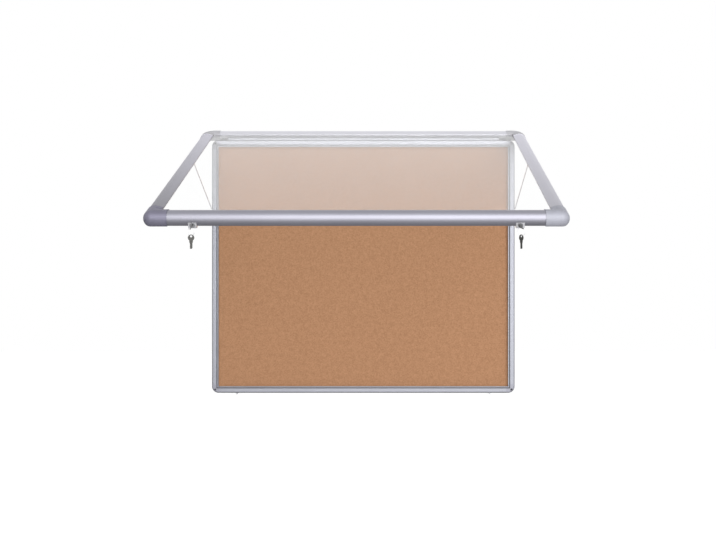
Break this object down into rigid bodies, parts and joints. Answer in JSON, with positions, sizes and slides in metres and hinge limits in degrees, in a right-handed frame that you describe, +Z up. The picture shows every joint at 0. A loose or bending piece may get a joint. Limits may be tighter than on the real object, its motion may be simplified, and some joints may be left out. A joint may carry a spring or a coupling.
{
  "type": "lockable notice board",
  "caption": "Wall notice board with a shallow aluminium case, a cork sheet and a top-hinged clear door, lifted on thin side stays, with cam locks and keys in its lower rail.",
  "frame": {"origin": "centre of the case's back on the wall plane, midway between the four wall screw holes", "axes": "+X to the right as the viewer sees it, +Z up, the front faces -Y and the wall is at y = 0"},
  "size_m": [1.204, 0.9644, 0.9843],
  "materials": {
    "case_aluminium": "satin anodised",
    "door_aluminium": "satin anodised",
    "corner_plastic": "matt grey",
    "cap_plastic": "matt grey",
    "cork": "natural cork",
    "backing_board": "raw fibreboard",
    "back_sheet": "galvanised grey",
    "clear_acrylic": "clear",
    "clear_rubber": "soft",
    "dark_rubber": "soft",
    "lock_chrome": "polished",
    "lock_alloy": "cast",
    "keep_steel": "zinc plated",
    "screw_steel": "zinc plated",
    "key_nickel": "nickel plated",
    "ring_steel": "bright",
    "stay_steel": "bright zinc",
    "stay_plastic": "matt grey"
  },
  "bodies": {
    "case": {"case_top_rail": "case_aluminium", "case_bottom_rail": "case_aluminium", "case_left_rail": "case_aluminium", "case_right_rail": "case_aluminium", "case_top_left_corner": "corner_plastic", "case_top_right_corner": "corner_plastic", "case_bottom_left_corner": "corner_plastic", "case_bottom_right_corner": "corner_plastic", "back_panel": "back_sheet", "backing_board": "backing_board", "cork_sheet": "cork", "left_lock_keep": "keep_steel", "right_lock_keep": "keep_steel", "keep_screws": "screw_steel"},
    "door": {"door_top_rail": "door_aluminium", "door_bottom_rail": "door_aluminium", "door_left_rail": "door_aluminium", "door_right_rail": "door_aluminium", "door_top_left_cap": "cap_plastic", "door_top_right_cap": "cap_plastic", "door_bottom_left_cap": "cap_plastic", "door_bottom_right_cap": "cap_plastic", "door_pane": "clear_acrylic", "glazing_gasket": "clear_rubber", "door_seal": "dark_rubber", "left_lock_block": "lock_alloy", "right_lock_block": "lock_alloy", "lock_block_screws": "screw_steel", "left_lock_barrel": "lock_chrome", "right_lock_barrel": "lock_chrome", "left_lock_nut": "lock_chrome", "right_lock_nut": "lock_chrome", "left_stay_block": "stay_plastic", "right_stay_block": "stay_plastic", "stay_block_screws": "screw_steel"},
    "left_lock": {"left_lock_plug": "lock_chrome", "left_lock_cam": "keep_steel", "left_cam_screw": "screw_steel", "left_key": "key_nickel"},
    "left_ring": {"left_key_ring": "ring_steel"},
    "left_spare": {"left_spare_key": "key_nickel"},
    "left_stay": {"left_stay_rod": "stay_steel"},
    "left_slider": {"left_stay_slider": "stay_plastic"},
    "right_lock": {"right_lock_plug": "lock_chrome", "right_lock_cam": "keep_steel", "right_cam_screw": "screw_steel", "right_key": "key_nickel"},
    "right_ring": {"right_key_ring": "ring_steel"},
    "right_spare": {"right_spare_key": "key_nickel"},
    "right_stay": {"right_stay_rod": "stay_steel"},
    "right_slider": {"right_stay_slider": "stay_plastic"}
  },
  "joints": [
    {"name": "door_lift", "type": "hinge", "parent": "case", "child": "door", "pos_m": [0, -0.026, 0.483], "axis": [-1, 0, 0], "range_deg": [-68.8, 0]},
    {"name": "left_lock_turn", "type": "hinge", "parent": "door", "child": "left_lock", "pos_m": [-0.461, -0.92156, 0.12062], "axis": [0, -0.9323, -0.3616], "range_deg": [0, 90]},
    {"name": "left_ring_swing", "type": "hinge", "parent": "door", "child": "left_ring", "pos_m": [-0.461, -0.95764, 0.10662], "axis": [-1, 0, 0], "range_deg": [0, 68.8]},
    {"name": "left_spare_swing", "type": "hinge", "parent": "left_ring", "child": "left_spare", "pos_m": [-0.461, -0.95764, 0.08362], "axis": [0.9063, -0.4226, 0], "range_deg": [-40, 40]},
    {"name": "left_stay_fold", "type": "hinge", "parent": "door", "child": "left_stay", "pos_m": [-0.5665, -0.37096, 0.3492], "axis": [-1, 0, 0], "range_deg": [0, 137.6]},
    {"name": "left_slider_turn", "type": "hinge", "parent": "left_stay", "child": "left_slider", "pos_m": [-0.5665, -0.026, 0.2154], "axis": [-1, 0, 0], "range_deg": [-68.8, 0]},
    {"name": "right_lock_turn", "type": "hinge", "parent": "door", "child": "right_lock", "pos_m": [0.461, -0.92156, 0.12062], "axis": [0, 0.9323, 0.3616], "range_deg": [0, 90]},
    {"name": "right_ring_swing", "type": "hinge", "parent": "door", "child": "right_ring", "pos_m": [0.461, -0.95764, 0.10662], "axis": [-1, 0, 0], "range_deg": [0, 68.8]},
    {"name": "right_spare_swing", "type": "hinge", "parent": "right_ring", "child": "right_spare", "pos_m": [0.461, -0.95764, 0.08362], "axis": [0.9063, -0.4226, 0], "range_deg": [-40, 40]},
    {"name": "right_stay_fold", "type": "hinge", "parent": "door", "child": "right_stay", "pos_m": [0.5665, -0.37096, 0.3492], "axis": [-1, 0, 0], "range_deg": [0, 137.6]},
    {"name": "right_slider_turn", "type": "hinge", "parent": "right_stay", "child": "right_slider", "pos_m": [0.5665, -0.026, 0.2154], "axis": [-1, 0, 0], "range_deg": [-68.8, 0]}
  ],
  "couplings": [
    {"joint": "left_ring_swing", "follows": "door_lift", "ratio": -1},
    {"joint": "left_stay_fold", "follows": "door_lift", "ratio": -2},
    {"joint": "left_slider_turn", "follows": "door_lift", "ratio": 1},
    {"joint": "right_ring_swing", "follows": "door_lift", "ratio": -1},
    {"joint": "right_stay_fold", "follows": "door_lift", "ratio": -2},
    {"joint": "right_slider_turn", "follows": "door_lift", "ratio": 1}
  ]
}
